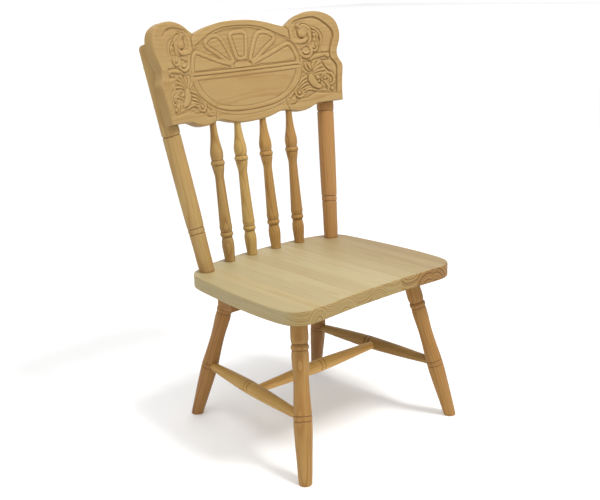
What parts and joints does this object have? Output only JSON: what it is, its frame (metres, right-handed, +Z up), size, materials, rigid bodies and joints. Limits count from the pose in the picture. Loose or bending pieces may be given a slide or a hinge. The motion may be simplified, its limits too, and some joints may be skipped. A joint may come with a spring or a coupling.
{
  "type": "child's spindle-back side chair",
  "caption": "Small pine side chair with a flat shaped seat, splayed turned legs on an H stretcher, raked turned posts and spindles, and a wide curved crest board with a carved sunburst.",
  "frame": {"origin": "on the floor under the middle of the chair's outer box", "axes": "+Z up, the sitter faces -Y, +X is to the right for a viewer who stands in front looking along +Y"},
  "size_m": [0.4382, 0.3931, 0.7395],
  "materials": {
    "seat_pine": "satin, pale bare pine in glued staves",
    "turned_pine": "satin, honey pine, turned",
    "crest_pine": "satin, honey pine, carved",
    "batten_pine": "plain sawn pine",
    "screw_steel": "plain steel, slightly dulled"
  },
  "bodies": {
    "root": {"seat_stave_01": "seat_pine", "seat_stave_02": "seat_pine", "seat_stave_03": "seat_pine", "seat_stave_04": "seat_pine", "seat_stave_05": "seat_pine", "seat_stave_06": "seat_pine", "seat_stave_07": "seat_pine", "seat_stave_08": "seat_pine", "seat_stave_09": "seat_pine", "seat_stave_10": "seat_pine", "seat_stave_11": "seat_pine", "seat_batten": "batten_pine", "batten_screws": "screw_steel", "leg_front_left": "turned_pine", "leg_front_right": "turned_pine", "leg_rear_left": "turned_pine", "leg_rear_right": "turned_pine", "stretcher_left": "turned_pine", "stretcher_right": "turned_pine", "stretcher_medial": "turned_pine", "back_post_left": "turned_pine", "back_post_right": "turned_pine", "spindle_1": "turned_pine", "spindle_2": "turned_pine", "spindle_3": "turned_pine", "spindle_4": "turned_pine", "crest_rail": "crest_pine", "crest_screws": "screw_steel"}
  },
  "joints": []
}
